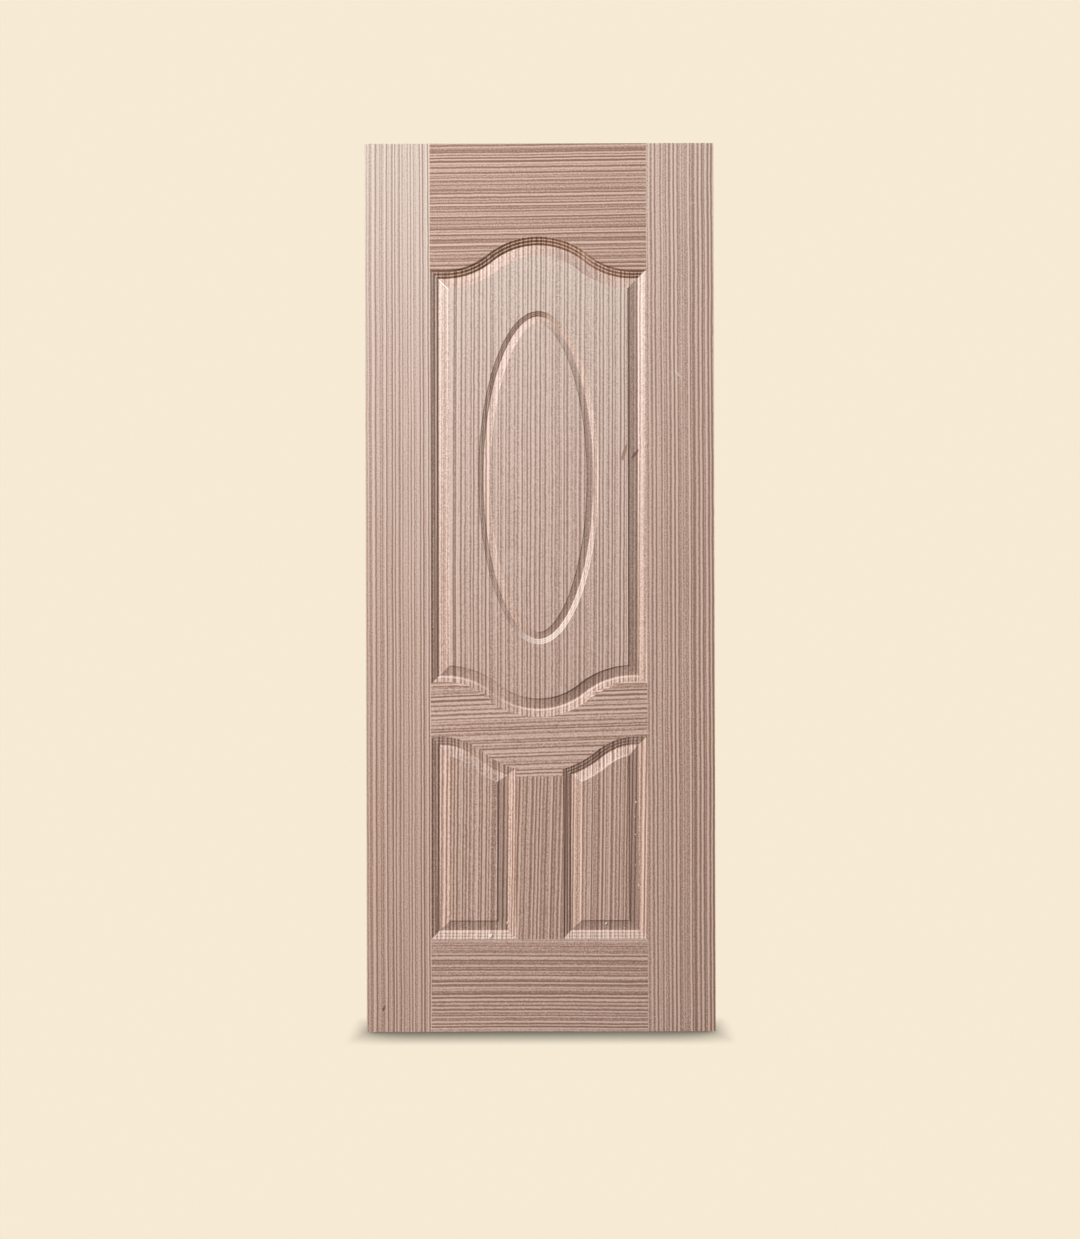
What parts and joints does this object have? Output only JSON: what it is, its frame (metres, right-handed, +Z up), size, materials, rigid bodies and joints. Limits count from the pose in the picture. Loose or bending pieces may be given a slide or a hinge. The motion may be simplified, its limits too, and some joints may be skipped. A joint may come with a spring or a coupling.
{
  "type": "moulded panel door leaf",
  "caption": "Veneered interior door leaf with an arched upper panel holding a sunk oval above a pair of lower panels, timber frame between moulded skins.",
  "frame": {"origin": "bottom end of the hinge edge, in the middle of the leaf's thickness", "axes": "+X across the leaf from the hinge edge, +Y through the thickness from the front face to the back, +Z up"},
  "size_m": [0.838, 0.035, 2.134],
  "materials": {
    "veneer": "unfinished striped veneer",
    "skin_board": "moulded fibreboard",
    "frame_timber": "planed softwood"
  },
  "bodies": {
    "root": {"front_left_stile_veneer": "veneer", "front_right_stile_veneer": "veneer", "front_top_rail_veneer": "veneer", "front_mid_rail_veneer": "veneer", "front_bottom_rail_veneer": "veneer", "front_mullion_veneer": "veneer", "front_upper_panel_veneer": "veneer", "front_lower_left_panel_veneer": "veneer", "front_lower_right_panel_veneer": "veneer", "back_left_stile_veneer": "veneer", "back_right_stile_veneer": "veneer", "back_top_rail_veneer": "veneer", "back_mid_rail_veneer": "veneer", "back_bottom_rail_veneer": "veneer", "back_mullion_veneer": "veneer", "back_upper_panel_veneer": "veneer", "back_lower_left_panel_veneer": "veneer", "back_lower_right_panel_veneer": "veneer", "front_skin": "skin_board", "back_skin": "skin_board", "frame_left_stile": "frame_timber", "frame_right_stile": "frame_timber", "frame_top_rail": "frame_timber", "frame_mid_rail": "frame_timber", "frame_bottom_rail": "frame_timber", "left_lock_block": "frame_timber", "right_lock_block": "frame_timber"}
  },
  "joints": []
}
